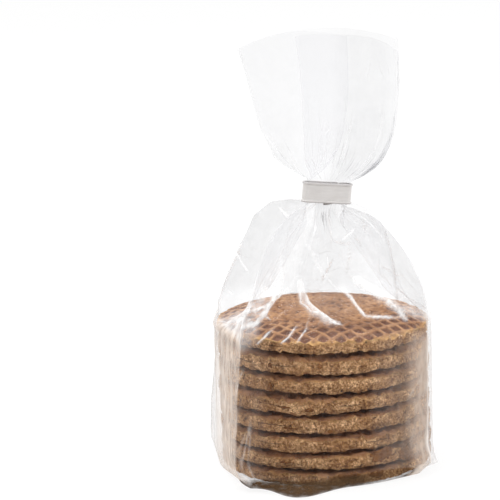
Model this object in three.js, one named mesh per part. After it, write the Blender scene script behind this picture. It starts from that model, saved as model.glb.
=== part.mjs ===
// A clear film bag that holds a stack of eight round syrup-filled waffles. The bag is gathered
// above the stack, closed by a flat band with a wire inside each edge, and flares open above it.
// Millimetres, +Z up. The origin is on the stack's axis, in the plane that the bag stands on.
// The bag's four panels face -Y (front), +X, +Y (back) and -X.
import * as THREE from 'three';

const { lerp, clamp, degToRad, smoothstep } = THREE.MathUtils;

// ---- Driving dimensions ----
const waffleRadius = 48;
const stackHeight = 66;
const filmClearance = 0.8;        // film outside the waffles' rims
const baseRounding = 1.2;
const panelSteps = 18;            // points on each panel, from fold to fold

// The four upright folds between the panels. spread is a fold's distance from the axis at the
// base, a third up the stack and at its top. Above the stack the fold narrows by taper on its way
// to the band, and the higher puff is, the later it turns in.
const folds = [
  { angle: -135, spread: [58, 64.5, 61], taper: 0.38, puff: 12 },
  { angle: -45, spread: [57, 56.8, 57], taper: 0.05, puff: 2.7 },
  { angle: 45, spread: [62, 62, 61], taper: 0.2, puff: 4 },
  { angle: 135, spread: [65, 65, 60.5], taper: 0.38, puff: 14 },
];
const baseFlap = { angle: -109, reach: 10, halfWidth: 15, height: 10 };  // folded film, out in front

const bandHeight = 9.2;
const bandLength = 22.4;          // outside, across the neck
const bandDepth = 4.6;            // outside, front to back
const bandThickness = 0.6;
const bandGap = 0.35;             // between the band and the gathered film
const bandEndDrop = 1.9;          // the band's outer end hangs askew at the back
const bandCentre = new THREE.Vector3(3.4, 0, 123.9);
const bandTilt = degToRad(6);     // its +X end is the lower one
const wireThickness = 1.0;        // of the band where a wire runs in it
const wireHeight = 1.0;

const flareLength = 66;           // film above the band
const flareLeft = 26;             // how far the mouth spreads past each end of the band
const flareRight = 24;
const mouthDepth = 22;            // the open mouth, front to back
const pleatCount = 12;            // pleats that run out of the neck
const pleatDepth = 0.16;          // as a part of the radius

// ---- Derived sizes ----
const panelRadius = waffleRadius + filmClearance;
const neckBottom = bandCentre.z - bandHeight / 2 - bandGap;
const neckTop = bandCentre.z + bandHeight / 2 + bandGap;
const neckHalfLength = bandLength / 2 - bandThickness - bandGap;
const neckHalfDepth = bandDepth / 2 - bandThickness - bandGap;

// ---- The bag's sections, each a ring of points at the same angles ----

// make(angle) gives the point of a ring at that angle, in degrees from +X.
function ringOf(make) {
  const step = 90 / panelSteps;
  return Array.from({ length: 4 * panelSteps }, (_, i) => make(folds[0].angle + i * step));
}

function polar(radius, angle, z) {
  const a = degToRad(angle);
  return new THREE.Vector3(radius * Math.cos(a), radius * Math.sin(a), z);
}

// The fold nearest to an angle, and the angle between them in radians.
function nearestFold(angle) {
  const index = Math.round((angle - folds[0].angle) / 90) % folds.length;
  const fold = folds[index];
  const turn = Math.abs(angle - fold.angle) % 360;
  return { fold, turn: degToRad(Math.min(turn, 360 - turn)) };
}

// A fold's distance from the axis beside the stack.
function spreadBeside(fold, z) {
  const third = stackHeight / 3;
  const [atBase, atThird, atTop] = fold.spread;
  if (z < third) return lerp(atBase, atThird, Math.sin((z / third) * Math.PI / 2));
  return lerp(atThird, atTop, smoothstep(z, third, stackHeight));
}

// A fold's distance from the axis above the stack: t is 0 at the top of the stack, 1 at the band.
function spreadAbove(fold, t) {
  return fold.spread[2] * (1 - fold.taper * t) * Math.sqrt(1 - Math.pow(t, fold.puff));
}

// Film between a fold at distance far and the middle of a panel at distance near. It is taut round
// the stack, or straight where the middle of the panel is drawn in.
function tautRadius(near, far, turn) {
  const half = Math.PI / 4;
  if (near >= far) return near;
  if (near < far * Math.cos(half)) {
    return far * near * Math.sin(half) / (far * Math.sin(turn) + near * Math.sin(half - turn));
  }
  const tangent = Math.acos(near / far);
  return turn < tangent ? near / Math.cos(tangent - turn) : near;
}

// The pleats' share of the radius at an angle; depth 0 leaves the film smooth.
function pleat(angle, depth) {
  return 1 - depth * (0.5 + 0.5 * Math.cos(degToRad(angle) * pleatCount));
}

// Sections near the band turn with it, about its centre.
function leanWithBand(point, share) {
  const turn = bandTilt * share;
  const across = point.x - bandCentre.x;
  const up = point.z - bandCentre.z;
  point.x = bandCentre.x + across * Math.cos(turn) + up * Math.sin(turn);
  point.z = bandCentre.z - across * Math.sin(turn) + up * Math.cos(turn);
  return point;
}

// Under the band, the film at the back stays clear of the band's hanging end.
function dipAtBack(point, angle, share) {
  point.z -= (bandEndDrop + bandGap) * smoothstep(Math.sin(degToRad(angle)), 0, 0.5) * share;
  return point;
}

function sectionBesideStack(z) {
  const inset = z === 0 ? baseRounding : 0;
  return ringOf((angle) => {
    const { fold, turn } = nearestFold(angle);
    const taut = tautRadius(panelRadius, spreadBeside(fold, z), turn);
    const offset = (angle - baseFlap.angle) / baseFlap.halfWidth;
    const flap = baseFlap.reach * Math.exp(-offset * offset) * clamp(1 - z / baseFlap.height, 0, 1);
    return polar(taut + flap - inset, angle, z);
  });
}

function sectionAboveStack(t) {
  const z = lerp(stackHeight, neckBottom, t);
  const near = panelRadius * Math.pow(1 - t, 1.2);
  return ringOf((angle) => {
    const { fold, turn } = nearestFold(angle);
    const radius = tautRadius(near, spreadAbove(fold, t), turn);
    const point = polar(radius * pleat(angle, pleatDepth * smoothstep(t, 0.3, 0.9)), angle, z);
    const neck = neckPoint(angle);
    if (Math.abs(point.x) < Math.abs(neck.x)) point.x = neck.x;
    if (Math.abs(point.y) < Math.abs(neck.y)) point.y = neck.y;
    point.x += bandCentre.x * smoothstep(t, 0, 1);
    leanWithBand(point, smoothstep(t, 0.5, 1));
    return dipAtBack(point, angle, smoothstep(t, 0.8, 1));
  });
}

// Gathered film: a flat oval with shallow pleats, about the middle of the neck.
function neckPoint(angle) {
  const a = degToRad(angle);
  const across = neckHalfLength * Math.cos(a);
  return new THREE.Vector3(across, neckHalfDepth * Math.sin(a) * pleat(angle, pleatDepth), 0);
}

function sectionInBand(z, dip) {
  return ringOf((angle) => {
    const point = neckPoint(angle);
    point.x += bandCentre.x;
    point.z = z;
    return dipAtBack(leanWithBand(point, 1), angle, dip);
  });
}

// f is 0 at the band and 1 at the mouth. Every strip of film is as long as the next, so the strips
// that lean outwards end lower.
function sectionOfFlare(f) {
  const depth = lerp(neckHalfDepth, mouthDepth / 2, Math.pow(f, 1.4));
  return ringOf((angle) => {
    const point = neckPoint(angle);
    const a = degToRad(angle);
    const left = Math.cos(a) < 0;
    const open = 1 - Math.pow(1 - f, left ? 2 : 3);
    const spread = (left ? flareLeft : flareRight) * Math.cos(a);
    point.x += bandCentre.x + spread * open;
    point.y = depth * Math.sin(a) * pleat(angle, pleatDepth * (1 - 0.6 * f));
    point.z = neckTop + f * Math.sqrt(flareLength ** 2 - (spread * open) ** 2);
    return leanWithBand(point, 1 - f);
  });
}

// ---- Closed meshes from rings ----

// Joins rings of equally many points, the lowest first and anticlockwise from above.
function loft(rings) {
  const count = rings[0].length;
  const positions = rings.flat().flatMap((p) => [p.x, p.y, p.z]);
  const index = [];
  for (let r = 0; r + 1 < rings.length; r++) {
    for (let i = 0; i < count; i++) {
      const a = r * count + i;
      const b = r * count + (i + 1) % count;
      index.push(a, b, b + count, a, b + count, a + count);
    }
  }
  closeEnd(positions, index, rings[0], 0, true);
  closeEnd(positions, index, rings.at(-1), (rings.length - 1) * count, false);
  const geometry = new THREE.BufferGeometry();
  geometry.setAttribute('position', new THREE.Float32BufferAttribute(positions, 3));
  geometry.setIndex(index);
  geometry.computeVertexNormals();
  return geometry;
}

function closeEnd(positions, index, ring, first, facesBack) {
  const middle = ring.reduce((sum, p) => sum.add(p), new THREE.Vector3()).divideScalar(ring.length);
  const hub = positions.length / 3;
  positions.push(middle.x, middle.y, middle.z);
  for (let i = 0; i < ring.length; i++) {
    const a = first + i;
    const b = first + (i + 1) % ring.length;
    if (facesBack) index.push(hub, b, a);
    else index.push(hub, a, b);
  }
}

function bagGeometry() {
  const besideStack = [0, 1.5, 4, 8, 13, 20, 28, 37, 46, 55, 62, stackHeight];
  const aboveStack = [0.06, 0.13, 0.22, 0.31, 0.4, 0.5, 0.6, 0.7, 0.79, 0.87, 0.93, 0.97];
  const flare = [0.02, 0.06, 0.12, 0.2, 0.3, 0.42, 0.56, 0.7, 0.85, 1];
  return loft([
    ...besideStack.map(sectionBesideStack),
    ...aboveStack.map(sectionAboveStack),
    sectionInBand(neckBottom, 1),
    sectionInBand(bandCentre.z, 0),
    sectionInBand(neckTop, 0),
    ...flare.map(sectionOfFlare),
  ]);
}

// ---- The closing band ----

// The line of the band's inner face, seen from above: from its inner end at the back, to the left,
// round the neck and over its own inner end. Each stop has its outward direction and its drop.
function bandPath() {
  const innerEnd = 5;
  const outerEnd = -0.5;
  const layerStep = wireThickness + 0.3;
  const endRadius = bandDepth / 2 - bandThickness;
  const flat = bandLength / 2 - bandThickness - endRadius;
  const arcSteps = 10;
  const path = [];
  const straight = (fromX, toX, steps, side) => {
    for (let i = 0; i <= steps; i++) {
      path.push({ x: lerp(fromX, toX, i / steps), y: side * endRadius, nx: 0, ny: side, drop: 0 });
    }
  };
  const bend = (centreX, fromAngle) => {
    for (let i = 1; i < arcSteps; i++) {
      const nx = Math.cos(fromAngle + Math.PI * i / arcSteps);
      const ny = Math.sin(fromAngle + Math.PI * i / arcSteps);
      path.push({ x: centreX + endRadius * nx, y: endRadius * ny, nx, ny, drop: 0 });
    }
  };
  straight(innerEnd, -flat, 6, 1);
  bend(-flat, Math.PI / 2);
  straight(-flat, flat, 8, -1);
  bend(flat, -Math.PI / 2);
  const overlap = path.length;
  straight(flat, outerEnd, 10, 1);
  for (const stop of path.slice(overlap)) {
    stop.y += layerStep * (1 - smoothstep(stop.x, innerEnd + 0.6, flat));
    stop.drop = bandEndDrop * (1 - smoothstep(stop.x, outerEnd, flat));
  }
  return path;
}

// The band cut across: distance out from its inner face, and height. A wire swells each edge.
function bandProfile() {
  const half = bandHeight / 2;
  const upper = [
    [0, half - 0.2],
    [0.25, half],
    [wireThickness - 0.25, half],
    [wireThickness, half - 0.25],
    [wireThickness, half - wireHeight + 0.25],
    [bandThickness, half - wireHeight],
  ];
  const lower = upper.map(([out, up]) => [out, -up]).reverse();
  return [...upper, ...lower];
}

function bandGeometry() {
  const profile = bandProfile();
  const toPoint = ({ x, y, nx, ny, drop }) => ([out, up]) => (
    new THREE.Vector3(x + nx * out, y + ny * out, up - drop)
  );
  return loft(bandPath().map((stop) => profile.map(toPoint(stop))));
}

// ---- The object ----

const film = new THREE.MeshStandardMaterial({
  color: 0xeef0f2,
  roughness: 0.12,
  metalness: 0,
  transparent: true,
  opacity: 0.4,
});
const bandPlastic = new THREE.MeshStandardMaterial({ color: 0xd6d0cd, roughness: 0.45, metalness: 0 });

const bag = new THREE.Mesh(bagGeometry(), film);
bag.name = 'bag';

const band = new THREE.Mesh(bandGeometry(), bandPlastic);
band.name = 'band';
band.position.copy(bandCentre);
band.rotation.y = bandTilt;

const waffleBag = new THREE.Group();
waffleBag.add(bag, band);

export default waffleBag;
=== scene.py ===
"""A clear film bag of eight round syrup-filled waffles, tied off with a flat wired band."""
import bpy
import math
import random
import numpy as np
from mathutils import Matrix, Vector, noise


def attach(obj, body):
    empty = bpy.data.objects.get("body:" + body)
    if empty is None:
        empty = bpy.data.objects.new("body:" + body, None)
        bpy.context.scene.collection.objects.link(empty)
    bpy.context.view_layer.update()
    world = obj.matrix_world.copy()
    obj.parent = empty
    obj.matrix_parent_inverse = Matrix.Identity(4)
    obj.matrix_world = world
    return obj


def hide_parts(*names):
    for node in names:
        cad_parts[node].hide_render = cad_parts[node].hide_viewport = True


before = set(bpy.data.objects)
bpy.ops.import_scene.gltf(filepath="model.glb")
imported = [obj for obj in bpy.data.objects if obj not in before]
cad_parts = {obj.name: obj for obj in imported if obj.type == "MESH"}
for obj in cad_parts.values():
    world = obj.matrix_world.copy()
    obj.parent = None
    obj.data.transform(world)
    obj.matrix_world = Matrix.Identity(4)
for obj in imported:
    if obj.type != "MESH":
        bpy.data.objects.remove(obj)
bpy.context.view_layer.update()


# ---- Floor, light and camera ------------------------------------------------------------------
# A sheet of white studio paper on the floor, in a white room, under one large soft lamp above and a
# smaller one at each side. The camera is a long lens a little above the bag and left of its front.
def fresh_start():
    """Leaves object mode with nothing selected, so an operator acts only on what comes next."""
    if bpy.context.object and bpy.context.object.mode != "OBJECT":
        bpy.ops.object.mode_set(mode="OBJECT")
    bpy.ops.object.select_all(action="DESELECT")


class Link:
    """A socket of a finish's nodes; sums and products of it are Math nodes."""

    def __init__(self, tree, socket):
        self.tree = tree
        self.socket = socket

    def node(self, kind, settings=None, inputs=None, output=0):
        """A new node, with its settings, and a value or a link for each of its inputs."""
        made = self.tree.nodes.new(kind)
        for name, value in (settings or {}).items():
            setattr(made, name, value)
        for name, value in (inputs or {}).items():
            if isinstance(value, Link):
                self.tree.links.new(value.socket, made.inputs[name])
            else:
                made.inputs[name].default_value = value
        return Link(self.tree, made.outputs[output] if made.outputs else None)

    def maths(self, operation, *values):
        return self.node("ShaderNodeMath", {"operation": operation}, dict(enumerate((self, *values))))

    def __add__(self, other):
        return self.maths("ADD", other)

    __radd__ = __add__

    def __mul__(self, other):
        return self.maths("MULTIPLY", other)

    __rmul__ = __mul__

    def __sub__(self, other):
        return self.maths("SUBTRACT", other)

    def __rsub__(self, other):
        return self.node("ShaderNodeMath", {"operation": "SUBTRACT"}, {0: other, 1: self})

    def __pow__(self, other):
        return self.maths("POWER", other)

    def held(self):
        """The value kept between 0 and 1."""
        return self.node("ShaderNodeClamp", None, {"Value": self})

    def blend(self, low, high):
        """Goes from the colour low to the colour high as this value goes from 0 to 1."""
        return self.node("ShaderNodeMix", {"data_type": "RGBA"}, {0: self, 6: low, 7: high}, output=2)

    def blend_with(self, under):
        """This colour, as a tint, times the colour under."""
        return self.node("ShaderNodeMix", {"data_type": "RGBA", "blend_type": "MULTIPLY"},
                         {0: 1.0, 6: under, 7: self}, output=2)

    def speckle(self, scale, detail, roughness=0.5):
        """A noise pattern over this place."""
        return self.node("ShaderNodeTexNoise", None, {
            "Vector": self, "Scale": scale, "Detail": detail, "Roughness": roughness})

    def bump(self, strength, distance):
        """The normals of a surface that rises with this value, by the distance in metres."""
        return self.node("ShaderNodeBump", None, {
            "Height": self, "Strength": strength, "Distance": distance})

    def noted(self, name):
        """The value that the piece's points have under a name."""
        return self.node("ShaderNodeAttribute", {"attribute_name": name}, output=2)

    def band(self, low, high):
        """0 below low, 1 above high, smooth between."""
        return self.node("ShaderNodeMapRange", {"interpolation_type": "SMOOTHSTEP"},
                         {"Value": self, "From Min": low, "From Max": high})


def shade(name):
    """A new finish, and a link that its nodes start from: a point's place on the object."""
    finish = bpy.data.materials.new(name)
    finish.use_nodes = True
    tree = finish.node_tree
    tree.nodes.clear()
    place = tree.nodes.new("ShaderNodeTexCoord")
    return finish, Link(tree, place.outputs["Object"])


def surface(link, shader):
    link.node("ShaderNodeOutputMaterial", None, {"Surface": shader})


paper_finish, place = shade("white_paper")
grain = place.speckle(900.0, 3.0)
surface(place, place.node("ShaderNodeBsdfPrincipled", None, {
    "Base Color": grain.blend((0.13, 0.13, 0.13, 1), (0.16, 0.16, 0.16, 1)), "Roughness": 0.9,
    "Specular IOR Level": 0.1, "Emission Color": (1, 1, 1, 1), "Emission Strength": 0.83}))

fresh_start()
bpy.ops.mesh.primitive_plane_add(size=6.0, location=(0, 0, 0))
floor = bpy.context.object
floor.name = "floor"
floor.data.materials.append(paper_finish)

world = bpy.data.worlds.new("studio")
world.use_nodes = True
world.node_tree.nodes.clear()
direction = world.node_tree.nodes.new("ShaderNodeTexCoord")
direction = Link(world.node_tree, direction.outputs["Generated"])
towards = direction.node("ShaderNodeSeparateXYZ", None, {"Vector": direction})
towards_back = Link(world.node_tree, towards.socket.node.outputs["Y"])
upwards = Link(world.node_tree, towards.socket.node.outputs["Z"])
room = 0.36 + towards_back.band(-0.6, 0.5) * 0.58 + upwards.band(0.2, 0.9) * 0.25
seen = direction.node("ShaderNodeLightPath")
room = room + (1 - room) * seen
lit = direction.node("ShaderNodeBackground", None, {"Color": (1, 1, 1, 1), "Strength": room})
direction.node("ShaderNodeOutputWorld", None, {"Surface": lit})
bpy.context.scene.world = world


lamp_target = Vector((0, 0, 0.08))


def lamp(name, place, size, power):
    """A square soft lamp at a place, facing the bag."""
    data = bpy.data.lights.new(name, "AREA")
    data.size = size
    data.energy = power
    made = bpy.data.objects.new(name, data)
    bpy.context.collection.objects.link(made)
    made.location = place
    made.rotation_euler = (lamp_target - Vector(place)).to_track_quat("-Z", "Y").to_euler()


lamp("lamp_above", (-0.15, 0.25, 1.3), 1.1, 11)
lamp("lamp_left", (-1.0, -0.5, 0.8), 0.6, 5.5)
lamp("lamp_right", (1.0, -0.6, 0.7), 0.6, 8)

camera_azimuth = math.radians(-9.4)
camera_distance = 1.215
camera_height = 0.360
camera_heading = math.radians(7.89)
camera_pitch = math.radians(-12.15)
camera_roll = math.radians(-1.7)
sensor_width = 36                  # the lens and the sensor are in millimetres
lens_per_frame = 5.49              # focal length in frame widths

camera_data = bpy.data.cameras.new("camera")
camera_data.sensor_width = sensor_width
camera_data.lens = sensor_width * lens_per_frame
camera = bpy.data.objects.new("camera", camera_data)
bpy.context.collection.objects.link(camera)
stand = Vector((math.sin(camera_azimuth) * camera_distance,
                -math.cos(camera_azimuth) * camera_distance, camera_height))
camera.matrix_world = (Matrix.Translation(stand)
                       @ Matrix.Rotation(-camera_heading, 4, "Z")
                       @ Matrix.Rotation(math.pi / 2 + camera_pitch, 4, "X")
                       @ Matrix.Rotation(camera_roll, 4, "Z"))
bpy.context.scene.camera = camera
bpy.context.scene.view_settings.view_transform = "Standard"
bpy.context.scene.cycles.transparent_max_bounces = 64


# ---- Waffles ----------------------------------------------------------------------------------
# Eight round waffles, each two thin baked sheets with syrup between them, stamped out by a ring
# cutter. The iron presses a square grid of pits into both faces; the cut side is open crumb.
mm = 0.001
waffle_radius = 47.5 * mm
waffle_thickness = 8.4 * mm
pit_spacing = 5.7 * mm
pit_depth = 1.3 * mm
ridge_width = 0.85 * mm
wall_run = 1.05 * mm               # how far a pit's wall slopes in
pits_across = 18
cutter_steps = 640
cutter_rows = 22
top_falls_from = 33                # distances from a waffle's middle, in mm
bottom_falls_from = 38
falls_to = 47.6
bottom_sag = 0.9
blistered_to = (29, 37)
torn_from = (40, 47)
crushed_from = (41, 46)


def select_only(piece):
    """Makes the piece the active one and the only one selected."""
    fresh_start()
    bpy.context.view_layer.objects.active = piece
    piece.select_set(True)


def points_of(mesh):
    """The places of a mesh's points, one row for each."""
    at = np.empty(len(mesh.vertices) * 3)
    mesh.vertices.foreach_get("co", at)
    return at.reshape(-1, 3)


def note_points(piece, name, values):
    """Notes a value at each of the piece's points, for its finish to read."""
    mark = piece.data.attributes.new(name, "FLOAT", "POINT")
    mark.data.foreach_set("value", np.ravel(values).astype(np.float32))


def ease_number(x, low, high):
    """0 below low, 1 above high, smooth between."""
    x = min(1.0, max(0.0, (x - low) / (high - low)))
    return x * x * (3 - 2 * x)


def rim_fall(reach, upper, sag):
    """How far the faces have come in at distances from the middle: the rim is pressed thin."""
    reach = np.minimum(reach, 50)
    top = sag * np.maximum(0, (reach - top_falls_from) / (falls_to - top_falls_from)) ** 2
    bottom = (reach - bottom_falls_from) / (falls_to - bottom_falls_from)
    return np.where(upper, top, bottom_sag * np.maximum(0, bottom) ** 2)


def pressed_slab():
    """A square slab with the iron's pits in its upper and lower face."""
    fresh_start()
    bpy.ops.mesh.primitive_grid_add(x_subdivisions=pits_across, y_subdivisions=pits_across,
                                    size=pits_across * pit_spacing,
                                    location=(0, 0, waffle_thickness / 2))
    slab = bpy.context.object
    bpy.ops.object.mode_set(mode="EDIT")
    bpy.ops.mesh.select_all(action="SELECT")
    bpy.ops.mesh.inset(thickness=ridge_width / 2, depth=0, use_individual=True)
    bpy.ops.mesh.inset(thickness=wall_run, depth=-pit_depth * 0.85, use_individual=True)
    bpy.ops.mesh.inset(thickness=wall_run * 0.5, depth=-pit_depth * 0.15, use_individual=True)
    bpy.ops.mesh.select_all(action="SELECT")
    bpy.ops.mesh.subdivide(number_cuts=1, smoothness=0)
    bpy.ops.mesh.vertices_smooth(factor=0.25, repeat=1)
    bpy.ops.mesh.select_all(action="SELECT")
    bpy.ops.mesh.duplicate()
    bpy.ops.transform.resize(value=(1, 1, -1), center_override=(0, 0, 0))
    bpy.ops.mesh.flip_normals()
    bpy.ops.mesh.select_all(action="DESELECT")
    bpy.ops.mesh.select_mode(type="EDGE")
    bpy.ops.mesh.select_non_manifold()
    bpy.ops.mesh.bridge_edge_loops()
    bpy.ops.object.mode_set(mode="OBJECT")
    bpy.ops.object.transform_apply(location=True, rotation=True, scale=True)
    return slab


def crumb_cutter(seed):
    """A rough-sided disc: what the ring cutter leaves of the slab, with crumbs and pores."""
    fresh_start()
    bpy.ops.mesh.primitive_cylinder_add(vertices=cutter_steps, radius=waffle_radius,
                                        depth=waffle_thickness * 1.3, end_fill_type="NGON")
    disc = bpy.context.object
    for edge in disc.data.edges:
        low, high = (disc.data.vertices[v].co for v in edge.vertices)
        edge.select = abs(low.z - high.z) > waffle_thickness
    for face in disc.data.polygons:
        face.select = False
    bpy.ops.object.mode_set(mode="EDIT")
    bpy.ops.mesh.select_mode(type="EDGE")
    bpy.ops.mesh.subdivide_edgering(number_cuts=cutter_rows)
    bpy.ops.object.mode_set(mode="OBJECT")
    offset = Vector((seed * 3.7, seed * 1.9, 0))
    for vertex in disc.data.vertices:
        at = vertex.co / mm
        out = vertex.co.xy.normalized()
        broad = noise.noise(at / 14 + offset) * 0.7
        lumps = noise.noise(at / 3.2 + offset) * 0.6
        crumbs = noise.noise(at / 1.2 + offset) * 0.55
        grit = noise.noise(at / 0.65 + offset) * 0.35
        gaps, _ = noise.voronoi(at / 1.7 + offset)
        pore = max(0.0, 0.36 - gaps[0]) * 3.0 if noise.noise(at / 5 + offset) > -0.15 else 0.0
        bulge = 0.5 - 0.9 * (at.z / (0.33 * waffle_thickness / mm)) ** 2 * (1 if at.z < 0 else 0.5)
        reach = broad + lumps + crumbs + grit - pore + max(-1.6, bulge)
        vertex.co.xy += out * min(reach, 0.3 + (reach - 0.3) * 0.3) * mm     # the bag holds crumbs in
    return disc


def uneven(at, spread, layer):
    """A smooth random height at a place; its lumps are about spread mm across."""
    return noise.noise(Vector((at.x / spread, at.y / spread, layer)))


def stamped_waffle(seed, sag, crushed):
    """A waffle at the origin: the pressed slab, its rim falling in, cut by the rough disc. Its middle
    is blistered, and under other waffles its rim's pits are crushed."""
    slab = pressed_slab()
    for vertex in slab.data.vertices:
        at = vertex.co / mm
        side = math.copysign(1, at.z)
        swell = uneven(at, 15, seed * 5 + side) * 0.3
        lumpy = uneven(at, 4.5, seed * 9 + side) * 0.3
        fine = uneven(at, 1.4, seed * 13 + side) * 0.28
        torn = ease_number(at.xy.length, *torn_from) * (0.25 if side > 0 and not crushed else 1.0)
        rough = uneven(at, 2.2, seed * 17 + side) * 1.3
        rough += uneven(at, 7, seed * 19 + side) * 1.1
        fall = float(rim_fall(at.xy.length, side > 0, sag))
        blistered = 1 - ease_number(at.xy.length, *blistered_to)
        blister = uneven(at, 2.1, seed * 23 + side) * 1.1
        blister += uneven(at, 1.0, seed * 29 + side) * 0.6
        sunk = waffle_thickness / mm / 2 - abs(at.z)
        rise = blistered * (blister + sunk * 0.8)
        rise += crushed * ease_number(at.xy.length, *crushed_from) * sunk
        vertex.co.z += side * (swell + lumpy + fine + torn * rough - fall + rise) * mm
        vertex.co.x += uneven(at, 5, seed + 20) * 0.9 * mm
        vertex.co.y += uneven(at, 5, seed + 40) * 0.9 * mm
    cutter = crumb_cutter(seed)
    for piece, index in ((slab, 0), (cutter, 1)):
        piece.data.materials.append(crust_finish)
        piece.data.materials.append(crumb_finish)
        piece.data.polygons.foreach_set("material_index", [index] * len(piece.data.polygons))
    select_only(slab)
    stamp = slab.modifiers.new("stamp", "BOOLEAN")
    stamp.operation = "INTERSECT"
    stamp.solver = "EXACT"
    stamp.object = cutter
    bpy.ops.object.modifier_apply(modifier="stamp")
    bpy.data.objects.remove(cutter)
    return slab


crust_finish, place = shade("baked_crust")
pit = place.noted("pit")
edge = place.noted("edge")
patches = place.speckle(75.0, 4.0)
mottle = place.speckle(420.0, 5.0, 0.65)
grain = place.speckle(2300.0, 3.0)
covered_shade = place.noted("covered_shade")
depth = (pit + (mottle - 0.5) * 0.35).band(0.05, 0.5)
crust = depth.blend((0.435, 0.240, 0.114, 1), (0.185, 0.078, 0.040, 1))
crust = edge.band(0.955, 0.995).blend(crust, (0.54, 0.32, 0.12, 1))
crust = patches.band(0.36, 0.66).blend((0.76, 0.66, 0.58, 1), (1.08, 1.08, 1.10, 1)).blend_with(crust)
crust = mottle.band(0.32, 0.68).blend((0.64, 0.54, 0.45, 1), (1.20, 1.18, 1.13, 1)).blend_with(crust)
# Where a waffle is covered by the next, its crust is painted darker: painted shade in the gap between
# waffles, less at the very rim.
gap_shade = covered_shade * (1 - edge.band(0.96, 1.01) * 0.4)
crust = (gap_shade * 0.75).blend(crust, (0.32, 0.145, 0.068, 1))
crust_bump = (grain * 0.5 + mottle).bump(0.8, 0.0010)
surface(place, place.node("ShaderNodeBsdfPrincipled", None, {
    "Base Color": crust, "Roughness": 0.38 + mottle * 0.3, "Normal": crust_bump}))

crumb_finish, place = shade("open_crumb")
level = place.noted("level")
covered_shade = place.noted("covered_shade")
clumps = place.speckle(290.0, 3.0)
patches = place.speckle(110.0, 3.0)
mottle = place.speckle(760.0, 6.0, 0.8)
cells = place.node("ShaderNodeTexVoronoi", None, {"Vector": place, "Scale": 1300.0})
thread = place.speckle(45.0, 2.0)
crumb = mottle.band(0.40, 0.60).blend((0.40, 0.200, 0.080, 1), (0.92, 0.62, 0.345, 1))
crumb = clumps.band(0.38, 0.62).blend((0.76, 0.68, 0.58, 1), (1.12, 1.11, 1.09, 1)).blend_with(crumb)
crumb = patches.band(0.35, 0.65).blend((0.74, 0.63, 0.50, 1), (1.10, 1.10, 1.12, 1)).blend_with(crumb)
crumb = cells.band(0.25, 0.75).blend((1.1, 1.1, 1.1, 1), (0.70, 0.62, 0.54, 1)).blend_with(crumb)
# The crumb's pores are painted nearly black: painted shade in the holes.
shaded_pores = ((1 - mottle.band(0.35, 0.40)) + (1 - clumps.band(0.28, 0.33))).held()
crumb = (shaded_pores * 0.8).blend(crumb, (0.045, 0.022, 0.010, 1))
rim = level.band(0.55, 0.98)
# The crumb's rim is less golden on covered waffles: painted shade in the gaps between them.
crumb = (rim * (0.6 - covered_shade * 0.4)).blend(crumb, (0.58, 0.35, 0.13, 1))
warped = level + (mottle - 0.5) * 0.7 + (patches - 0.5) * 0.8
seam = (1 - warped.maths("ABSOLUTE").band(0.03, 0.13)) * thread.band(0.58, 0.64)
crumb = (seam * 0.8).blend(crumb, (0.085, 0.034, 0.016, 1))
crumb_bump = (mottle * 2 - shaded_pores).bump(0.9, 0.0012)
surface(place, place.node("ShaderNodeBsdfPrincipled", None, {
    "Base Color": crumb, "Roughness": 0.85, "Normal": crumb_bump}))


def mark_heights(waffle, sag):
    """Notes on each point how deep in a pit it is, how high between the faces, how near the rim."""
    at = points_of(waffle.data) / mm
    reach = np.hypot(at[:, 0], at[:, 1])
    upper = at[:, 2] > 0
    face = waffle_thickness / mm / 2 - rim_fall(reach, upper, sag)
    levels = at[:, 2] / face
    pits = np.clip((face - np.abs(at[:, 2])) / (pit_depth / mm), 0, 1)
    note_points(waffle, "pit", pits)
    note_points(waffle, "level", levels)
    note_points(waffle, "edge", reach / (waffle_radius / mm))


# The planes between the waffles, from the floor up: height on the axis in mm, and fall to the right
# as a slope. To the right is along view_right.
view_right = Vector((math.cos(camera_azimuth), math.sin(camera_azimuth), 0))
planes = [(0.3, 0.0), (7.2, 0.0), (15.2, -0.008), (23.8, -0.009), (32.7, -0.021), (41.9, 0.007),
          (50.5, 0.007), (59.9, 0.022), (67.5, 0.010)]
domes = [0, 0, 0, 0, 0, 0.8, 2.0, 3.8]      # how far each waffle's middle stands up, in mm
shifts = [0.6, 0.5, 0.4, 0.1, -0.2, 0.2, -0.1, 0.0]         # how far each lies to the right, in mm
turns = [37, 112, 201, 64, 158, 290, 17, 45]                # and how far it is turned, in degrees
top_waffle = 7
bag_bottom = 0.5 * mm              # what the lowest waffle lies on


def seat_waffle(pattern, number):
    """A copy of the pattern waffle, turned, and pressed between the two planes it lies between."""
    waffle = bpy.data.objects.new(f"waffle_{number + 1}", pattern.data.copy())
    bpy.context.collection.objects.link(waffle)
    points = points_of(waffle.data)
    turn = math.radians(turns[number] + math.degrees(camera_azimuth))
    spin = np.array([[math.cos(turn), -math.sin(turn)], [math.sin(turn), math.cos(turn)]])
    points[:, :2] = points[:, :2] @ spin.T + np.array(view_right.xy) * shifts[number] * mm
    across = points[:, :2] @ np.array(view_right.xy)
    (low, low_fall), (high, high_fall) = planes[number], planes[number + 1]
    bottom = low * mm - low_fall * across
    top = high * mm - high_fall * across
    points[:, 2] = bottom + (points[:, 2] / waffle_thickness + 0.5) * (top - bottom)
    reach = np.minimum(1, np.hypot(points[:, 0], points[:, 1]) / waffle_radius)
    points[:, 2] += domes[number] * mm * (1 - reach ** 3)
    points[:, 2] = np.maximum(points[:, 2], bag_bottom)
    waffle.data.vertices.foreach_set("co", points.reshape(-1))
    waffle.data.update()
    # Covered waffles get painted shade in their crust and rim, for the gaps between waffles.
    note_points(waffle, "covered_shade", np.full(len(points), float(number != top_waffle)))    # 1 if covered
    select_only(waffle)
    bpy.ops.object.shade_smooth_by_angle(angle=math.radians(50))
    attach(waffle, "root")


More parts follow.
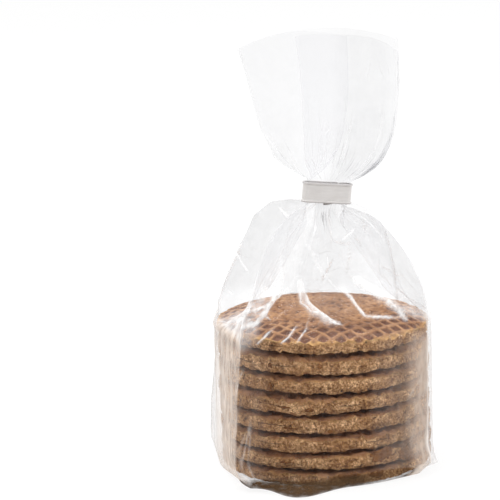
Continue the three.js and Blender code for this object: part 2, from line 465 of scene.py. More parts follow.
sags = [2.2, 1.9, 1.7]             # of the two patterns for the pile, and of the top waffle
crushes = [0.85, 0.85, 0]          # how far the rim's pits are crushed flat
patterns = [stamped_waffle(seed + 1, sags[seed], crushes[seed]) for seed in range(3)]
for pattern, sag in zip(patterns, sags):
    mark_heights(pattern, sag)
for number in range(top_waffle):
    seat_waffle(patterns[number % 2], number)
seat_waffle(patterns[2], top_waffle)
for pattern in patterns:
    bpy.data.objects.remove(pattern)


# ---- Syrup and crumbs -------------------------------------------------------------------------
# Brown caramel syrup that has run out between the sheets and set in smears on the cut sides, and a
# few crumbs that have fallen to the bottom of the bag.

# Each smear: its direction in degrees, and in mm the height it lies at, its width and its height.
syrup_smears = [
    (-67.4, 12.4, 11.4, 5.4), (-64.5, 14.0, 5.4, 3.6), (-50.0, 10.8, 10.0, 6.0), (-47.0, 13.0, 5.0, 4.4),
    (-70.8, 4.1, 6.4, 3.4), (-87.3, 4.9, 8.4, 3.2), (-129.3, 45.0, 2.6, 3.4), (-128.9, 55.1, 1.8, 2.2),
    (-107.7, 35.7, 3.6, 1.8), (-101.3, 55.7, 1.8, 2.4), (-96.9, 26.0, 2.0, 1.6), (-40.5, 11.5, 2.4, 3.4),
    (-121.9, 36.5, 5.5, 0.8), (-119.4, 27.0, 4.5, 0.6), (-121.6, 11.2, 5.0, 0.6), (-84.0, 6.0, 2.2, 1.6),
]
syrup_finish, place = shade("caramel_syrup")
streaky = place.speckle(330.0, 5.0)
film_marks = place.speckle(1500.0, 3.0)
amber = streaky.band(0.35, 0.65).blend((0.11, 0.038, 0.008, 1), (0.20, 0.080, 0.021, 1))
syrup_bump = (streaky + film_marks * 0.4).bump(0.5, 0.0004)
surface(place, place.node("ShaderNodeBsdfPrincipled", None, {
    "Base Color": amber, "Roughness": 0.45 + film_marks * 0.25, "Specular IOR Level": 0.2,
    "Normal": syrup_bump}))


def lump(name, finish, size, place_it, roughness, seed):
    """A small uneven blob; place_it turns a point of it to its place on the bag."""
    fresh_start()
    bpy.ops.mesh.primitive_ico_sphere_add(subdivisions=4, radius=0.5)
    blob = bpy.context.object
    blob.name = name
    for vertex in blob.data.vertices:
        at = vertex.co.copy()
        bulge = 1 + roughness * noise.noise(at * 2.2 + Vector((seed, 0, 0)))
        bulge += roughness * 0.5 * noise.noise(at * 5.0 + Vector((0, seed, 0)))
        vertex.co = place_it(Vector(at[k] * size[k] * bulge for k in range(3)))
    blob.data.materials.append(finish)
    bpy.ops.object.shade_smooth()
    return blob


def joined(name, blobs):
    """The blobs as one piece that rides with the bag."""
    fresh_start()
    for blob in blobs:
        blob.select_set(True)
    bpy.context.view_layer.objects.active = blobs[0]
    bpy.ops.object.join()
    blobs[0].name = name
    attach(blobs[0], "root")


def on_side(direction, height):
    """Turns a point (across, up, out) in mm to its place on the stack's side."""
    turn = math.radians(direction)

    def place_it(at):
        bend = turn + at.x / (waffle_radius / mm)
        reach = waffle_radius / mm + 0.45 + at.z
        return Vector((math.cos(bend) * reach, math.sin(bend) * reach, height + at.y)) * mm
    return place_it


smears = [lump("smear", syrup_finish, (wide, tall, 1.7), on_side(direction, height), 0.55, number * 3.1)
          for number, (direction, height, wide, tall) in enumerate(syrup_smears)]
joined("syrup", smears)

random.seed(5)
crumbs = []
for number in range(26):
    direction = math.radians(random.uniform(-137, -106))
    reach = random.uniform(49.2, 54.5)
    size = random.uniform(0.5, 1.3)
    middle = Vector((math.cos(direction) * reach, math.sin(direction) * reach, 0.35 + size * 0.4))
    crumbs.append(lump("crumb", crumb_finish, (size * 1.3, size, size * 0.9),
                       lambda at, middle=middle: (middle + at) * mm, 0.8, number * 1.7))
joined("crumbs", crumbs)


# ---- Film bag ---------------------------------------------------------------------------------
# Thin crisp clear film, folded to a square tube with a flat bottom and filled with the stack, then
# gathered to a neck, past which it spreads to a loose flare. It is laid out round the stack, settled
# over it as cloth, held by the base and the band, and creased.
film_radius = waffle_radius + 1.4 * mm
film_base = 0.4 * mm
stack_top = 66 * mm
neck_foot = 119.3 * mm
neck_head = 128.5 * mm
neck_half_width = 9.7 * mm
neck_half_depth = 0.75 * mm
neck_side = 3.4 * mm               # the neck is right of the stack's axis
neck_middle = 123.9 * mm
neck_lean = math.radians(6)
shoulder_film = 80 * mm            # film from the rim of the stack to the band
flare_film = 68.5 * mm             # and from the band to the mouth
neck_start = stack_top + shoulder_film                # lengths of film up to the band's two edges
flare_start = neck_start + neck_head - neck_foot
hair = 1e-6
panel_points = 32
film_points = 4 * panel_points
row_step = 2.7 * mm
stack_rows = round(stack_top / row_step)
shoulder_rows = round(shoulder_film / row_step)
neck_rows = 4
flare_rows = round(flare_film / row_step)

# Each fold between two panels: beside the stack as height and distance from the axis, and above
# it as distance from the axis and height. Front left first, then on round past front right.
folds = [
    ([(0, 57), (3, 62), (6, 65.5), (12, 68.5), (43, 66), (66, 62.5)],
     [(62.5, 66), (59, 76), (52, 90), (47, 100), (42.5, 109), (31, 116), (19, 118), (9.7, 119.3)]),
    ([(0, 51), (3, 54), (6, 57.5), (9, 57.5), (14, 56), (35, 56.7), (66, 57.2)],
     [(57.2, 66), (57, 79), (54, 88), (49, 95), (43, 102), (36, 109), (29, 115), (20, 118.5),
      (9.7, 119.3)]),
    ([(0, 62), (20, 62), (66, 61)],
     [(61, 66), (59, 76), (55, 88), (50, 97), (43, 105), (35, 111), (23, 116), (9.7, 119.3)]),
    ([(0, 66.6), (18, 66), (33, 63.6), (52, 61), (66, 60)],
     [(60, 66), (56, 76), (49, 90), (44, 100), (40, 109), (31, 115.3), (19.4, 117.7), (9.7, 119.3)]),
]
# Flaps of the folded bottom that stick out at the floor: direction, half width, reach and height.
flaps = [(-111, 13, 15, 10), (-24, 6, 4, 8)]
panel_middle = [(48.6, 66), (42, 67.5), (35, 70), (28, 76), (18, 92), (9, 107), (3.5, 119.3)]


def ease(x, low, high):
    """As ease_number, for an array."""
    x = np.clip((x - low) / (high - low), 0, 1)
    return x * x * (3 - 2 * x)


def along(line, share):
    """The point at a share of a broken line's length."""
    line = np.array(line, float)
    steps = np.hypot(*np.diff(line, axis=0).T)
    run = np.concatenate([[0], np.cumsum(steps)])
    return np.array([np.interp(share * run[-1], run, line[:, k]) for k in range(2)])


def taut(near, far, turn):
    """Distance of film that is taut from a fold at distance far to the round stack."""
    tangent = math.acos(min(1, near / far))
    return near / math.cos(tangent - turn) if turn < tangent else near


def ring_beside(height):
    """The film's level section beside the stack, with its points evenly spread on each panel."""
    ring = []
    for panel in range(4):
        outline = []
        for degrees in range(91):
            fold = panel if degrees < 45 else (panel + 1) % 4
            spread = np.interp(height / mm, *zip(*folds[fold][0]))
            reach = taut(film_radius, spread * mm, math.radians(min(degrees, 90 - degrees)))
            angle = -135 + 90 * panel + degrees
            for at, half_wide, far, tall in flaps:
                share = math.exp(-((angle - at) / half_wide) ** 2)
                reach += far * mm * share * max(0, 1 - height / (tall * mm))
            turn = math.radians(angle)
            outline.append((reach * math.cos(turn), reach * math.sin(turn)))
        ring += [along(outline, point / panel_points) for point in range(panel_points)]
    return np.array(ring)


pleat_side = np.array([1 if point % 2 else -1 for point in range(film_points)])


def lean(points, share):
    """Turns points with the neck, about its middle."""
    turn = neck_lean * share
    across = points[:, 0] - neck_side
    up = points[:, 2] - neck_middle
    points[:, 0] = neck_side + across * np.cos(turn) + up * np.sin(turn)
    points[:, 2] = neck_middle - across * np.sin(turn) + up * np.cos(turn)
    return points


angles = np.radians(-135 + 360 * np.arange(film_points) / film_points)


def ring_neck(height):
    """The film's level section in the band: a flat oval with a pleat at each point."""
    x = neck_half_width * np.cos(angles) + neck_side
    y = neck_half_depth * np.sin(angles) + pleat_side * 0.45 * mm * np.sin(angles)
    return np.stack([x, y, np.full(film_points, height)], axis=1)


def ring_shoulder(share):
    """The section at a share of the way from the rim of the stack to the band."""
    top = ring_beside(stack_top)
    neck = ring_neck(neck_foot)
    ring = np.zeros((film_points, 3))
    for point in range(film_points):
        panel, step = divmod(point, panel_points)
        part = step / panel_points
        fold = panel if part < 0.5 else (panel + 1) % 4
        cornered = abs(2 * part - 1) ** 1.6
        at_fold = along(folds[fold][1], share) * mm
        at_middle = along(panel_middle, share) * mm
        reach, height = at_fold * cornered + at_middle * (1 - cornered)
        start = along(folds[fold][1], 0)[0] * mm * cornered + film_radius * (1 - cornered)
        angle = math.atan2(top[point][1], top[point][0])
        reach *= 1 + (math.hypot(*top[point]) / start - 1) * (1 - share)
        ring[point] = reach * math.cos(angle), reach * math.sin(angle), height
    close = ease(share, 0.80, 1.0)
    ring[:, 0] += neck_side * ease(share, 0, 1) * (1 - close)
    ring[:, :2] = ring[:, :2] * (1 - close) + neck[:, :2] * close
    return lean(ring, ease(share, 0.5, 1.0))


# The mouth of the flare, seen from above, from the front left fold and round to it again. The
# left side panel is folded in between front and back; the right one is crumpled together.
mouth = [
    [(-10.5, -9), (2, -10.5), (18, -9.5), (31, -8), (36, -4)],
    [(36, -4), (37.5, 1), (37, 6)],
    [(37, 6), (20, 11), (-5, 12), (-24, 10), (-34, 7)],
    [(-34, 7), (-8, 5), (15, 1), (8, -3), (-10.5, -9)],
]


def ring_flare(share):
    """The section at a share of the way from the band to the mouth."""
    neck = ring_neck(neck_head)
    ring = np.zeros((film_points, 3))
    for point in range(film_points):
        panel, step = divmod(point, panel_points)
        end = along(mouth[panel], step / panel_points) * mm
        start = neck[point, :2]
        spread = end[0] - start[0]
        if spread < 0:
            open_x = 0.65 * (1 - (1 - share) ** 7) + 0.35 * share ** 0.8
        else:
            open_x = 0.75 * (1 - (1 - share) ** 6.5) + 0.25 * share ** 0.8
        open_y = share ** 1.1
        folded_down = 0.09 * math.exp(-((point - 37) / 9) ** 2)    # at the right corner
        length = flare_film * (1 - folded_down)
        rise = math.sqrt(max(0, length ** 2 - (spread * open_x) ** 2)) * share
        ring[point] = (start[0] + spread * open_x, start[1] + (end[1] - start[1]) * open_y,
                       neck_head + rise)
    return lean(ring, 1 - share)


def laid_out_film():
    """Rows of points from the floor to the mouth."""
    rows = [np.column_stack([ring_beside(height), np.full(film_points, height)])
            for height in np.linspace(film_base, stack_top, stack_rows)]
    rows += [ring_shoulder(row / shoulder_rows) for row in range(1, shoulder_rows)]
    rows += [lean(ring_neck(height), 1) for height in np.linspace(neck_foot, neck_head, neck_rows)]
    rows += [ring_flare(row / flare_rows) for row in range(1, flare_rows + 1)]
    return np.array(rows)


rows = laid_out_film()
row_count = len(rows)
row_lengths = np.concatenate([                     # each row's length of film up from the floor
    np.linspace(0, stack_top, stack_rows),
    stack_top + shoulder_film * np.arange(1, shoulder_rows) / shoulder_rows,
    neck_start + np.linspace(0, neck_head - neck_foot, neck_rows),
    flare_start + flare_film * np.arange(1, flare_rows + 1) / flare_rows])
heights = rows[:, :, 2].mean(1)
in_band = (row_lengths > neck_start - hair) & (row_lengths < flare_start + hair)

# Above the stack the film is cut wider than it is laid out, so that it settles in folds.
shoulder_slack = 0.05
flare_slack = 0.02
loose = ease(row_lengths, stack_top + 2 * mm, stack_top + 15 * mm)
rest = rows.copy()
grow = 1 + shoulder_slack * loose * (row_lengths < neck_start - hair)
grow = grow + flare_slack * (row_lengths > flare_start + hair)
rest[:, :, :2] *= grow[:, None, None]
work_scale = 10                    # the cloth is settled ten times full size


def sheet_mesh(name, points, rows, columns, closed=False):
    """A tube of rows of points as a mesh, open at the top and open or closed below."""
    faces = [(row * columns + k, row * columns + (k + 1) % columns,
              (row + 1) * columns + (k + 1) % columns, (row + 1) * columns + k)
             for row in range(rows - 1) for k in range(columns)]
    if closed:
        faces.append(tuple(reversed(range(columns))))
    mesh = bpy.data.meshes.new(name)
    mesh.from_pydata(points.tolist(), [], faces)
    made = bpy.data.objects.new(name, mesh)
    bpy.context.collection.objects.link(made)
    return made


draped = sheet_mesh("draped", rows.reshape(-1, 3) * work_scale, row_count, film_points)
draped.shape_key_add(name="laid out")
cut = draped.shape_key_add(name="slack")
cut.data.foreach_set("co", (rest.reshape(-1) * work_scale).astype(np.float32))
held = draped.vertex_groups.new(name="held")
for row in range(row_count):
    ids = [row * film_points + k for k in range(film_points)]
    if row == 0 or in_band[row]:
        held.add(ids, 1.0, "REPLACE")
    elif row == row_count - 1:
        held.add(ids, 0.4, "REPLACE")
    elif heights[row] < neck_foot:
        strength = 0.6 if row_lengths[row] < stack_top else 0.25
        held.add([row * film_points + k * panel_points for k in range(4)], strength, "REPLACE")
    else:
        held.add(ids, 0.55, "REPLACE")

fresh_start()
bpy.ops.mesh.primitive_cylinder_add(vertices=96, radius=(film_radius - 0.6 * mm) * work_scale,
                                    depth=stack_top * work_scale,
                                    location=(0, 0, stack_top / 2 * work_scale))
former = bpy.context.object         # the stack, as what the film falls on
bpy.ops.object.mode_set(mode="EDIT")
bpy.ops.mesh.select_mode(type="FACE")
bpy.ops.mesh.select_all(action="DESELECT")
bpy.ops.object.mode_set(mode="OBJECT")
for face in former.data.polygons:
    face.select = face.normal.z > 0.9
bpy.ops.object.mode_set(mode="EDIT")
for step_in, step_up in ((6, 1.4), (9, 1.3), (12, 0.8), (12, 0.3)):
    bpy.ops.mesh.inset(thickness=step_in * mm * work_scale, depth=step_up * mm * work_scale)
bpy.ops.object.mode_set(mode="OBJECT")
former.modifiers.new("touch", "COLLISION")
former.collision.thickness_outer = 0.6 * mm * work_scale
former.collision.cloth_friction = 5

cloth = draped.modifiers.new("settle", "CLOTH")
for pull, stiffness, damping in (
        ("tension", 60, 20), ("compression", 60, 20), ("shear", 20, 10), ("bending", 1, 1)):
    setattr(cloth.settings, pull + "_stiffness", stiffness)
    setattr(cloth.settings, pull + "_damping", damping)
cloth.settings.quality = 6
cloth.settings.mass = 0.05
cloth.settings.air_damping = 3
cloth.settings.vertex_group_mass = "held"
cloth.settings.pin_stiffness = 2
cloth.settings.rest_shape_key = cut
cloth.settings.effector_weights.gravity = 0.15
cloth.collision_settings.distance_min = 0.4 * mm * work_scale
for moment in range(1, 31):
    bpy.context.scene.frame_set(moment)
settled = bpy.data.meshes.new_from_object(draped.evaluated_get(bpy.context.evaluated_depsgraph_get()))
coarse = points_of(settled).reshape(row_count, film_points, 3) / work_scale
bpy.data.objects.remove(draped)
bpy.data.objects.remove(former)

# The settled sheet is drawn again on a finer net, with creases folded into it. Places on the flat
# film are in mm: the distance round from the front left fold, and the length up from the floor.
around = 364.0

# The net is closest on the front panel and just above the stack, where the creases show most.
columns = np.concatenate([np.arange(-12, 102, 0.8), np.arange(102, around - 12, 1.9)])
net_rows = np.concatenate([np.arange(0, 64, 1.9), np.arange(64, 104, 0.95), np.arange(104, 223.6, 1.9)])
fine_columns = len(columns)


def catmull(f):
    """The weights of four points in a row for a smooth curve, a share f past the second."""
    return np.stack([-0.5 * f + f ** 2 - 0.5 * f ** 3, 1 - 2.5 * f ** 2 + 1.5 * f ** 3,
                     0.5 * f + 2 * f ** 2 - 1.5 * f ** 3, -0.5 * f ** 2 + 0.5 * f ** 3])


def on_film(round_mm, up_mm):
    """Points of the settled sheet at distances round it and up it."""
    column = round_mm % around / around * film_points
    row = np.interp(up_mm, row_lengths / mm, np.arange(row_count))
    left = np.floor(column).astype(int)
    below = np.minimum(np.floor(row).astype(int), row_count - 2)
    across_weights = catmull(column - left)
    up_weights = catmull(row - below)
    point = 0
    for i in range(4):
        for j in range(4):
            at = coarse[np.clip(below + i - 1, 0, row_count - 1), (left + j - 1) % film_points]
            point = point + at * (up_weights[i] * across_weights[j])[..., None]
    return point


# A crease is a line of straight ridges or valleys: its points, each with how far it stands out there,
# then its half width, how white the bent film is, and half the width of the white. The white is
# partly real whitening of the bent film and partly a painted highlight.
creases = [
    ([(3, 141, 0.5), (9, 102, 1.2), (10, 98, 0.5)], 3.5, 0.25, 1.4),
    ([(9, 104, 0.3), (10, 96, 1.4), (5, 77, 1.6), (-6, 71, 0)], 3.5, 1.0, 1.9),
    ([(27, 141, 0.5), (18, 98, 0.8), (13, 92, 0)], 3.0, 0.3, 1.0),
    ([(14, 96, 0.6), (5, 84, 1.3), (-6, 77, 0.4)], 2.5, 0.95, 1.3),
    ([(20, 101, 0.2), (23, 92, 1.2), (30, 87, 1.4), (43, 83, 1.2), (54, 81, 0)], 2.4, 1.0, 1.0),
    ([(23, 100, 0.2), (28, 93, 1.0), (36, 87, 1.2), (50, 83, 0.3)], 2.4, 0.85, 1.6),
    ([(21, 101, 0.1), (25, 93, 0.1), (31, 87, 0.1), (42, 83.5, 0.1)], 3.0, 0.66, 4.0),
    ([(19, 121, 0), (40, 108, 0.8), (57, 98, 0.5)], 3.0, 0.45, 0.9),
    ([(55, 100, 0.4), (60, 95, 1.1), (62, 90, 1.2), (65, 83, 1.2), (79, 77, 0.3)], 3.0, 0.95, 1.5),
    ([(52, 141, 0.5), (60, 110, 1.0), (67, 100, 0.6)], 3.5, 0.3, 1.2),
    ([(63, 106, 0.3), (72, 94, 1.5), (77, 87, 1.7), (82, 75, 0.6)], 3.5, 1.0, 1.9),
    ([(66, 103, 0.1), (74, 93, 0.1), (80, 82, 0.1), (90, 74, 0.1)], 3.0, 0.64, 3.8),
    ([(76, 86, 0.8), (83, 79, 1.2), (92, 73, 0)], 3.0, 0.8, 1.4),
    ([(5, 92, 0.1), (2, 80, 0.1), (-6, 73, 0.1)], 3.0, 0.6, 3.4),
    ([(8, 108, 0.1), (8, 92, 0.1), (5, 82, 0.1)], 3.0, 0.45, 2.6),
    ([(14, 77, 0), (9, 69, 1.2), (7, 66, 0)], 2.2, 0.85, 1.1),
    ([(24, 80, 0), (21, 70, 1.1), (18, 66, 0)], 2.2, 0.85, 1.1),
    ([(30, 79, 0), (27, 70, 1.0), (26, 66, 0)], 2.0, 0.8, 1.0),
    ([(15, 140, 0.2), (15, 118, 0.3), (13, 98, 0.2)], 9.0, 0.38, 8.0),
]
random.seed(11)
neck_low, neck_high = neck_start / mm, flare_start / mm
film_top = row_lengths[-1] / mm
# Pleats that run down and up from the band, and fade out at different lengths.
at = 0.0
side = 1
while at < around - 4:
    wide = random.uniform(5, 13)
    drift = random.gauss(0, 0.12)
    for start, way in ((neck_low - 1, -1), (neck_high + 1, 1)):
        length = random.choice([16, 24, 34, 46, 64] if way < 0 else [10, 16, 24, 38])
        length *= random.uniform(0.8, 1.2)
        tall = side * random.uniform(0.8, 1.9)
        line = [(at, start, 0.4 * tall),
                (at + drift * length * 0.4, start + way * length * 0.4, tall),
                (at + drift * length, start + way * length, 0)]
        creases.append((line, wide * 0.55, random.choice([0, 0.15, 0.3, 0.6]), 0.8))
    at += wide
    side = -side


def handling_creases(count, round_from, round_to, low, high, lean_spread, longest, whitest):
    """Short straight creases over a part of the film, from being handled and filled."""
    for _ in range(count):
        at, up = random.uniform(round_from, round_to), random.uniform(low, high)
        turn = random.gauss(0, lean_spread)
        length = random.uniform(0.25, 1) * longest
        tall = random.uniform(-0.9, 0.9)
        if neck_low - 12 < up < neck_high + 8:
            continue
        end = (at + math.sin(turn) * length, up - math.cos(turn) * length, 0)
        middle = ((at + end[0]) / 2, (up + end[1]) / 2, tall)
        creases.append(([(at, up, 0), middle, end], random.uniform(1.8, 5), random.uniform(0, whitest),
                        random.uniform(0.6, 1.0)))


handling_creases(90, 0, around, 76, neck_low, 0.8, 30, 0.75)
handling_creases(16, 0, around, neck_high, film_top - 4, 0.5, 20, 0.3)
handling_creases(14, 60, 130, film_top - 16, film_top - 2, 0.9, 12, 0.5)
handling_creases(60, 275, 372, 8, 72, 0.3, 30, 0.8)      # the left side, where the film stands free
handling_creases(24, 88, 120, 8, 72, 0.3, 24, 0.7)
handling_creases(30, 120, 275, 8, 72, 0.5, 24, 0.6)
handling_creases(26, 336, 368, 60, 88, 0.6, 18, 0.95)    # crumpled in over the stack's rim
# Along the four folds the film is whitened: wear of the folded film and a painted highlight.
for fold in range(4):                                    # wear along the four folds
    at = fold * around / 4
    for low, high, whiteness, white_width in (
            (2, 98, 0.75, 0.8), (98, neck_low - 3, 0.3, 0.8), (neck_high + 3, film_top, 0.45, 0.7)):
        creases.append(([(at, low, 0.3), (at, high, 0.3)], 2.0, whiteness, white_width))

net_rows = net_rows * film_top / net_rows[-1]
round_net, up_net = np.meshgrid(columns, net_rows)
half_column = np.broadcast_to(np.diff(columns, append=columns[0] + around) / 2, round_net.shape)
half_row = np.broadcast_to((np.diff(net_rows, append=net_rows[-1] + 1) / 2)[:, None], round_net.shape)


def beside_crease(start, end):
    """Each net point's distance across the line from start to end, and share of the way along it."""
    run, rise = end[0] - start[0], end[1] - start[1]
    length = math.hypot(run, rise)
    dr = (round_net - start[0] + around / 2) % around - around / 2
    du = up_net - start[1]
    return (dr * rise - du * run) / length, (dr * run + du * rise) / length ** 2, length


# Net points near a crease slide sideways or up onto it, so that its ridge is a true edge.
for line, *_ in creases:
    for start, end in zip(line, line[1:]):
        across, share, length = beside_crease(start, end)
        slope = (end[1] - start[1]) / length
        lies = (share > 0) & (share < 1)
        if abs(slope) > 0.6:
            near = lies & (np.abs(across / slope) <= half_column)
            round_net = np.where(near, round_net - across / slope, round_net)
        else:
            level = (end[0] - start[0]) / length
            near = lies & (np.abs(across / level) <= half_row) & (up_net > 1)
            up_net = np.where(near, up_net + across / level, up_net)

film_at = on_film(round_net, up_net)
out = np.cross(np.roll(film_at, -1, 1) - np.roll(film_at, 1, 1), np.gradient(film_at, axis=0))
out = out / np.maximum(np.linalg.norm(out, axis=2, keepdims=True), 1e-12)
stand = np.zeros(round_net.shape)
white = np.zeros(round_net.shape)
for line, half_width, whitening_and_highlight, white_width in creases:
    highest = max(abs(point[2]) for point in line)
    standing = np.zeros(round_net.shape)
    for start, end in zip(line, line[1:]):
        across, share, length = beside_crease(start, end)
        beyond = (share - np.clip(share, 0, 1)) * length
        apart = np.hypot(across, beyond)
        tall = start[2] + (end[2] - start[2]) * np.clip(share, 0, 1)
        tent = tall * np.clip(1 - apart / half_width, 0, 1)
        standing = np.where(np.abs(tent) > np.abs(standing), tent, standing)
        pale = whitening_and_highlight * np.clip(1.5 * (1 - apart / white_width), 0, 1)
        white = np.maximum(white, pale * np.clip(2 * np.abs(tall) / highest, 0, 1))
    stand += standing
to_band = np.minimum(np.abs(up_net - neck_low), np.abs(up_net - neck_high))
to_band[(up_net > neck_low) & (up_net < neck_high)] = 0
rim = stack_top / mm
outside = np.where(up_net < rim, 0.25, 1.0)              # the stack backs the film below its rim
outside *= 1 - 0.55 * ease(up_net, 100, 106) * (1 - ease(up_net, 122, 132))      # and it is tight above
stand *= ease(to_band, 0, 12) * np.where((up_net < 70) & (stand < 0), 0.2, outside)
film_at = film_at + out * (stand * mm)[..., None]
film_at[..., 2] = np.maximum(film_at[..., 2], 0.1 * mm)

# Where the film stands free beside the stack it is finely crinkled and hazy.
round_film = round_net % around
hazy = np.interp(round_film,
                 [0, 6, 16, 60, 72, 80, 83, 85, 88, 90.5, 93, 100, 120,
                  160, 176, 190, 200, 255, 268, 282, 298, 312, 336, 350, 364],
                 [0.14, 0.08, 0, 0, 0.07, 0.20, 0.38, 0.64, 0.98, 0.85, 0.30, 0.12, 0.10,
                  0.10, 0.24, 0.20, 0.08, 0.08, 0.20, 0.38, 0.42, 0.37, 0.39, 0.35, 0.22])
hazy *= 1 - ease(up_net, 60, 72)
# Backed by the stack its haze is painted with the brown of the waffles' light scattered through it, and
# away from them it is plain milky.
waffle_light_tint = np.interp(round_film, [0, 88, 91.5, 95, 290, 320, 345], [0.9, 1, 0.4, 0.1, 0, 0.5, 0.9])
# At the two left corners it is pushed in over the rim, and whitened there: whitening of the bent film and a
# painted highlight.
corner = np.interp(round_film, [0, 4, 10, 300, 326, 364], [0.75, 0.55, 0, 0, 0.78, 0.78])
white = np.maximum(white, corner * ease(up_net, 60, 68) * (1 - ease(up_net, 76, 96)))
# Round the foot in front, most at the left, where the bottom is folded in layers, the film is painted dark:
# painted shade of the stack and a painted reflection of the waffles.
angle_net = np.degrees(np.arctan2(film_at[..., 1], film_at[..., 0]))
foot = ease(angle_net, -143, -126)
foot = foot * (1 - 0.85 * ease(angle_net, -88, -62)) * (1 - ease(angle_net, -62, -46))
foot_shadow_mask = foot * (1 - ease(up_net, 2.5, 6.0)) * (0.4 + 0.6 * ease(up_net, 0.1, 1.6))
# Above the stack the film is finely crumpled and a little cloudy, most over its side panels.
over_rim = np.interp(round_film, [0, 9, 81, 91, 364], [rim, rim + 18, rim + 18, rim, rim])
veil = ease(up_net - over_rim, 0, 14) * ease(neck_low + 4 - up_net, 0, 4)
veil *= np.interp(round_film,
                  [0, 9, 17, 73, 81, 86, 92, 103, 113, 130, 165, 182,
                   200, 212, 243, 255, 264, 270, 284, 292, 302, 340, 364],
                  [0.2, 0.2, 2.1, 2.1, 0.7, 1.2, 1.8, 1.8, 1.5, 0.5, 0.3, 0.4,
                   0.9, 1.2, 1.2, 1.3, 1.5, 1.9, 1.9, 1.3, 0.8, 0.1, 0.2])
# The flare is milkier down at the band, where it is gathered.
flare_veil = 0.85 - 0.3 * ease(up_net, neck_high + 6, neck_high + 50)
flare_veil *= ease(up_net, neck_high - 3, neck_high)
flare_veil *= np.interp(round_film,
                        [0, 28, 44, 76, 91, 182, 191, 210, 224, 240, 262, 283, 300, 319, 345, 364],
                        [0.4, 0.5, 1.8, 1.7, 1, 1, 1.5, 1.6, 0.5, 0.6, 1, 1, 0.9, 0.3, 0.3, 0.4])
veil = np.maximum(veil, flare_veil)

# The flat bottom: rings of points drawn in from the lowest row, and a patch in the middle.
shares = np.array([0.1, 0.45, 0.75, 0.92])
bottom = film_at[0][None] * np.array([1, 1, 0]) * shares[:, None, None] + np.array([0, 0, 0.25 * mm])
film_at = np.concatenate([bottom, film_at])
rings = np.ones((len(shares), fine_columns))
# Under the stack and just beyond it the bottom is painted dark: a painted contact shadow.
under_foot_shadow = np.maximum(foot[:1] * np.array([0, 0, 0.9, 0.9])[:, None],
                          np.array([0.7, 0.7, 0.5, 0])[:, None])

film = sheet_mesh("film", film_at.reshape(-1, 3), len(film_at), fine_columns, closed=True)
for name, under, above in (("whitening_and_highlight", rings * 0, white), ("haze", rings * 0.1, hazy), ("waffle_light_tint", rings, waffle_light_tint),
                           ("veil", rings * 0, veil), ("foot_shadow", under_foot_shadow, foot_shadow_mask)):
    note_points(film, name, np.concatenate([under, above]))
select_only(film)
bpy.ops.object.shade_smooth_by_angle(angle=math.radians(24))
wall = film.modifiers.new("wall", "SOLIDIFY")
wall.thickness = 0.05 * mm
wall.offset = 0

film_finish, place = shade("clear_film")
whitening_and_highlight, haze, foot_shadow, veil, waffle_light_tint = map(place.noted, ("whitening_and_highlight", "haze", "foot_shadow", "veil", "waffle_light_tint"))
facing = place.node("ShaderNodeLayerWeight", None, {"Blend": 0.5}, output=1)
gleam = (0.0028 + 0.07 * facing ** 6) * (1 - foot_shadow.held() * 0.8)
upright = place.node("ShaderNodeVectorMath", {"operation": "MULTIPLY"}, {0: place, 1: (1, 1, 0.3)})
streaks = upright.speckle(330.0, 5.0)
ripple = place.speckle(60.0, 4.0)
cloudy = place.speckle(140.0, 6.0)
film_bump = ripple.bump(0.25, 0.002)
clear = place.node("ShaderNodeBsdfTransparent", None, {"Color": (0.9905, 0.9905, 0.992, 1)})
gloss = place.node("ShaderNodeBsdfGlossy", None, {
    "Color": (0.95, 0.95, 0.95, 1), "Roughness": 0.10, "Normal": film_bump})
mixed = place.node("ShaderNodeMixShader", None, {0: gleam, 1: clear, 2: gloss})
tint = (veil.held() * (1 - whitening_and_highlight.band(0.1, 0.5))).blend((0.95, 0.95, 0.95, 1), (0.42, 0.42, 0.42, 1))
# Where the stack backs it, the haze is painted with the brown of the waffles' scattered light.
haze_tint = waffle_light_tint.held().blend((0.77, 0.755, 0.745, 1), (0.80, 0.69, 0.60, 1))
tint = haze.band(0, 0.15).blend(tint, haze_tint)
# At the front foot the film is painted dark brown: painted shade of the stack and a painted reflection of
# the waffles.
tint = foot_shadow.band(0.0, 0.04).blend(tint, (0.10, 0.058, 0.030, 1))
milky = place.node("ShaderNodeBsdfPrincipled", None, {
    "Base Color": tint, "Roughness": 1.0, "Specular IOR Level": 0.0})
milkiness = 0.001 + cloudy.band(0.4, 0.75) * 0.005 + facing ** 4 * 0.05
milkiness = milkiness + veil * (0.028 + cloudy.band(0.3, 0.7) * 0.014)
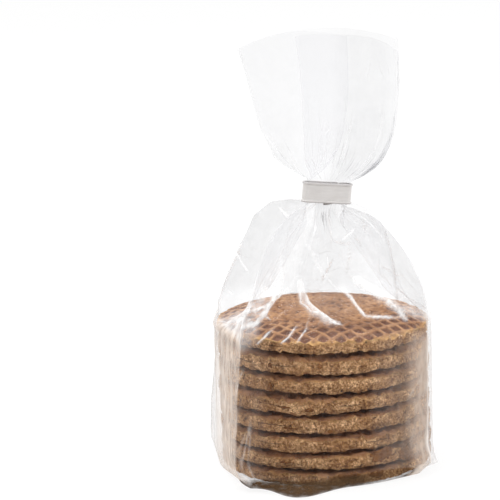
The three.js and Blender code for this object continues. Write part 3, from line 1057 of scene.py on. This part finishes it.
# Creases are whitened: real whitening of the bent film and a painted highlight along them.
milkiness = milkiness + whitening_and_highlight ** 2 * (0.36 + streaks.band(0.35, 0.65) * 0.36)
milkiness = milkiness + haze * (0.3 + 0.85 * facing) * (0.65 + streaks.band(0.3, 0.7) * 0.7)
milkiness = milkiness + foot_shadow * (0.42 + streaks.band(0.25, 0.75) * 0.55)
milkiness = milkiness.held()
mixed = place.node("ShaderNodeMixShader", None, {0: milkiness, 1: mixed, 2: milky})
surface(place, mixed)
film.data.materials.append(film_finish)
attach(film, "root")
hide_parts("bag")


# ---- Band -------------------------------------------------------------------------------------
# The flat plastic band round the neck, with a wire in each long edge: light grey, satin, and finely
# ribbed along its length from the rolls it is drawn through.
band_finish, place = shade("satin_plastic")
squeezed = place.node("ShaderNodeVectorMath", {"operation": "MULTIPLY"}, {0: place, 1: (0.15, 0.15, 1)})
ribs = squeezed.speckle(1500.0, 3.0)
clouds = place.speckle(160.0, 4.0)
specks = place.speckle(2600.0, 2.0)
plastic = clouds.band(0.3, 0.7).blend((0.615, 0.59, 0.572, 1), (0.665, 0.642, 0.627, 1))
# A wire runs where the distance from the band's middle line, up its lean, is over wire_line.
wire_line = 3.9 * mm
wire_fade = 0.4 * mm
lean_up = place.node("ShaderNodeVectorMath", {"operation": "DOT_PRODUCT"},
                     {0: place, 1: (math.sin(neck_lean), 0, math.cos(neck_lean))}, output=1)
middle_line = neck_side * math.sin(neck_lean) + neck_middle * math.cos(neck_lean)
from_middle = (lean_up - middle_line).maths("ABSOLUTE")
plastic = ribs.band(0.35, 0.65).blend((0.95, 0.95, 0.95, 1), (1.0, 1.0, 1.0, 1)).blend_with(plastic)
plastic = from_middle.band(wire_line, wire_line + wire_fade).blend(plastic, (0.50, 0.48, 0.475, 1))
band_bump = (ribs + specks * 0.3).bump(0.35, 0.0002)
surface(place, place.node("ShaderNodeBsdfPrincipled", None, {
    "Base Color": plastic, "Roughness": 0.42 + clouds * 0.12, "Normal": band_bump}))
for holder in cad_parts["band"].material_slots:
    holder.material = band_finish

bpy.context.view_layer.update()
